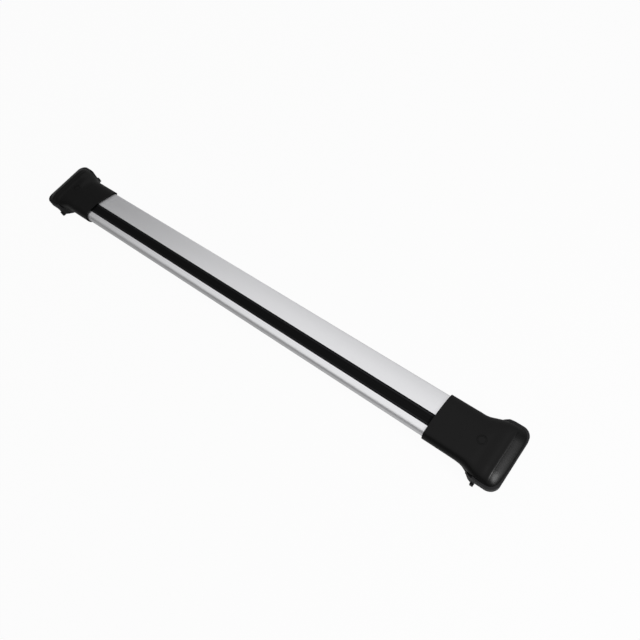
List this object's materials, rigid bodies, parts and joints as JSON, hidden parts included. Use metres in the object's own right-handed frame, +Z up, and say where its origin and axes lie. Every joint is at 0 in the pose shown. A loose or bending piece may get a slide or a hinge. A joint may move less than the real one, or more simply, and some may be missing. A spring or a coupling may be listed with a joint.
{
  "type": "roof cross bar",
  "caption": "Aerofoil aluminium roof cross bar with a rubber slot strip and moulded clamp feet that grip closed roof rails.",
  "frame": {"origin": "middle of the bar's length and width, at the lowest edge of the feet", "axes": "+X along the bar to the right foot, +Y towards the bar's thin trailing edge, +Z up"},
  "size_m": [1.146, 0.1206, 0.0457],
  "materials": {
    "anodised_aluminium": "satin anodised extrusion",
    "strip_rubber": "matt black rubber",
    "cover_plastic": "fine textured black moulding",
    "base_plastic": "fine textured black moulding, a shade lighter",
    "plug_plastic": "smooth black moulding",
    "pad_rubber": "matt black rubber",
    "bracket_steel": "black coated pressed steel",
    "claw_steel": "zinc plated pressed steel",
    "zinc_fasteners": "zinc plated",
    "bolt_steel": "plain stainless"
  },
  "bodies": {
    "bar_and_feet": {"bar": "anodised_aluminium", "slot_strip": "strip_rubber", "cover_right": "cover_plastic", "base_right": "base_plastic", "rail_pad_right": "pad_rubber", "foot_bracket_right": "bracket_steel", "clamp_washer_right": "zinc_fasteners", "bar_screws_right": "zinc_fasteners", "cover_screws_right": "zinc_fasteners", "cover_left": "cover_plastic", "base_left": "base_plastic", "rail_pad_left": "pad_rubber", "foot_bracket_left": "bracket_steel", "clamp_washer_left": "zinc_fasteners", "bar_screws_left": "zinc_fasteners", "cover_screws_left": "zinc_fasteners"},
    "clamp_bolt_right": {"clamp_bolt_right": "bolt_steel"},
    "claw_right": {"claw_right": "claw_steel", "claw_liner_right": "pad_rubber", "clamp_nut_right": "zinc_fasteners"},
    "lock_plug_right": {"lock_plug_right": "plug_plastic"},
    "clamp_bolt_left": {"clamp_bolt_left": "bolt_steel"},
    "claw_left": {"claw_left": "claw_steel", "claw_liner_left": "pad_rubber", "clamp_nut_left": "zinc_fasteners"},
    "lock_plug_left": {"lock_plug_left": "plug_plastic"}
  },
  "joints": [
    {"name": "bolt_turn_right", "type": "hinge", "parent": "bar_and_feet", "child": "clamp_bolt_right", "pos_m": [0.516, 0, 0.0235], "axis": [0, 0, -1], "range_deg": [0, 3024]},
    {"name": "claw_lift_right", "type": "slide", "parent": "bar_and_feet", "child": "claw_right", "axis": [0, 0, 1], "range_m": [0, 0.0084]},
    {"name": "plug_off_right", "type": "slide", "parent": "bar_and_feet", "child": "lock_plug_right", "axis": [0, 0, 1], "range_m": [0, 0.025]},
    {"name": "bolt_turn_left", "type": "hinge", "parent": "bar_and_feet", "child": "clamp_bolt_left", "pos_m": [-0.516, 0, 0.0235], "axis": [0, 0, -1], "range_deg": [0, 3024]},
    {"name": "claw_lift_left", "type": "slide", "parent": "bar_and_feet", "child": "claw_left", "axis": [0, 0, 1], "range_m": [0, 0.0084]},
    {"name": "plug_off_left", "type": "slide", "parent": "bar_and_feet", "child": "lock_plug_left", "axis": [0, 0, 1], "range_m": [0, 0.025]}
  ],
  "couplings": [
    {"joint": "bolt_turn_right", "follows": "claw_lift_right", "rad_per_m": 6283.2},
    {"joint": "bolt_turn_left", "follows": "claw_lift_left", "rad_per_m": 6283.2}
  ]
}
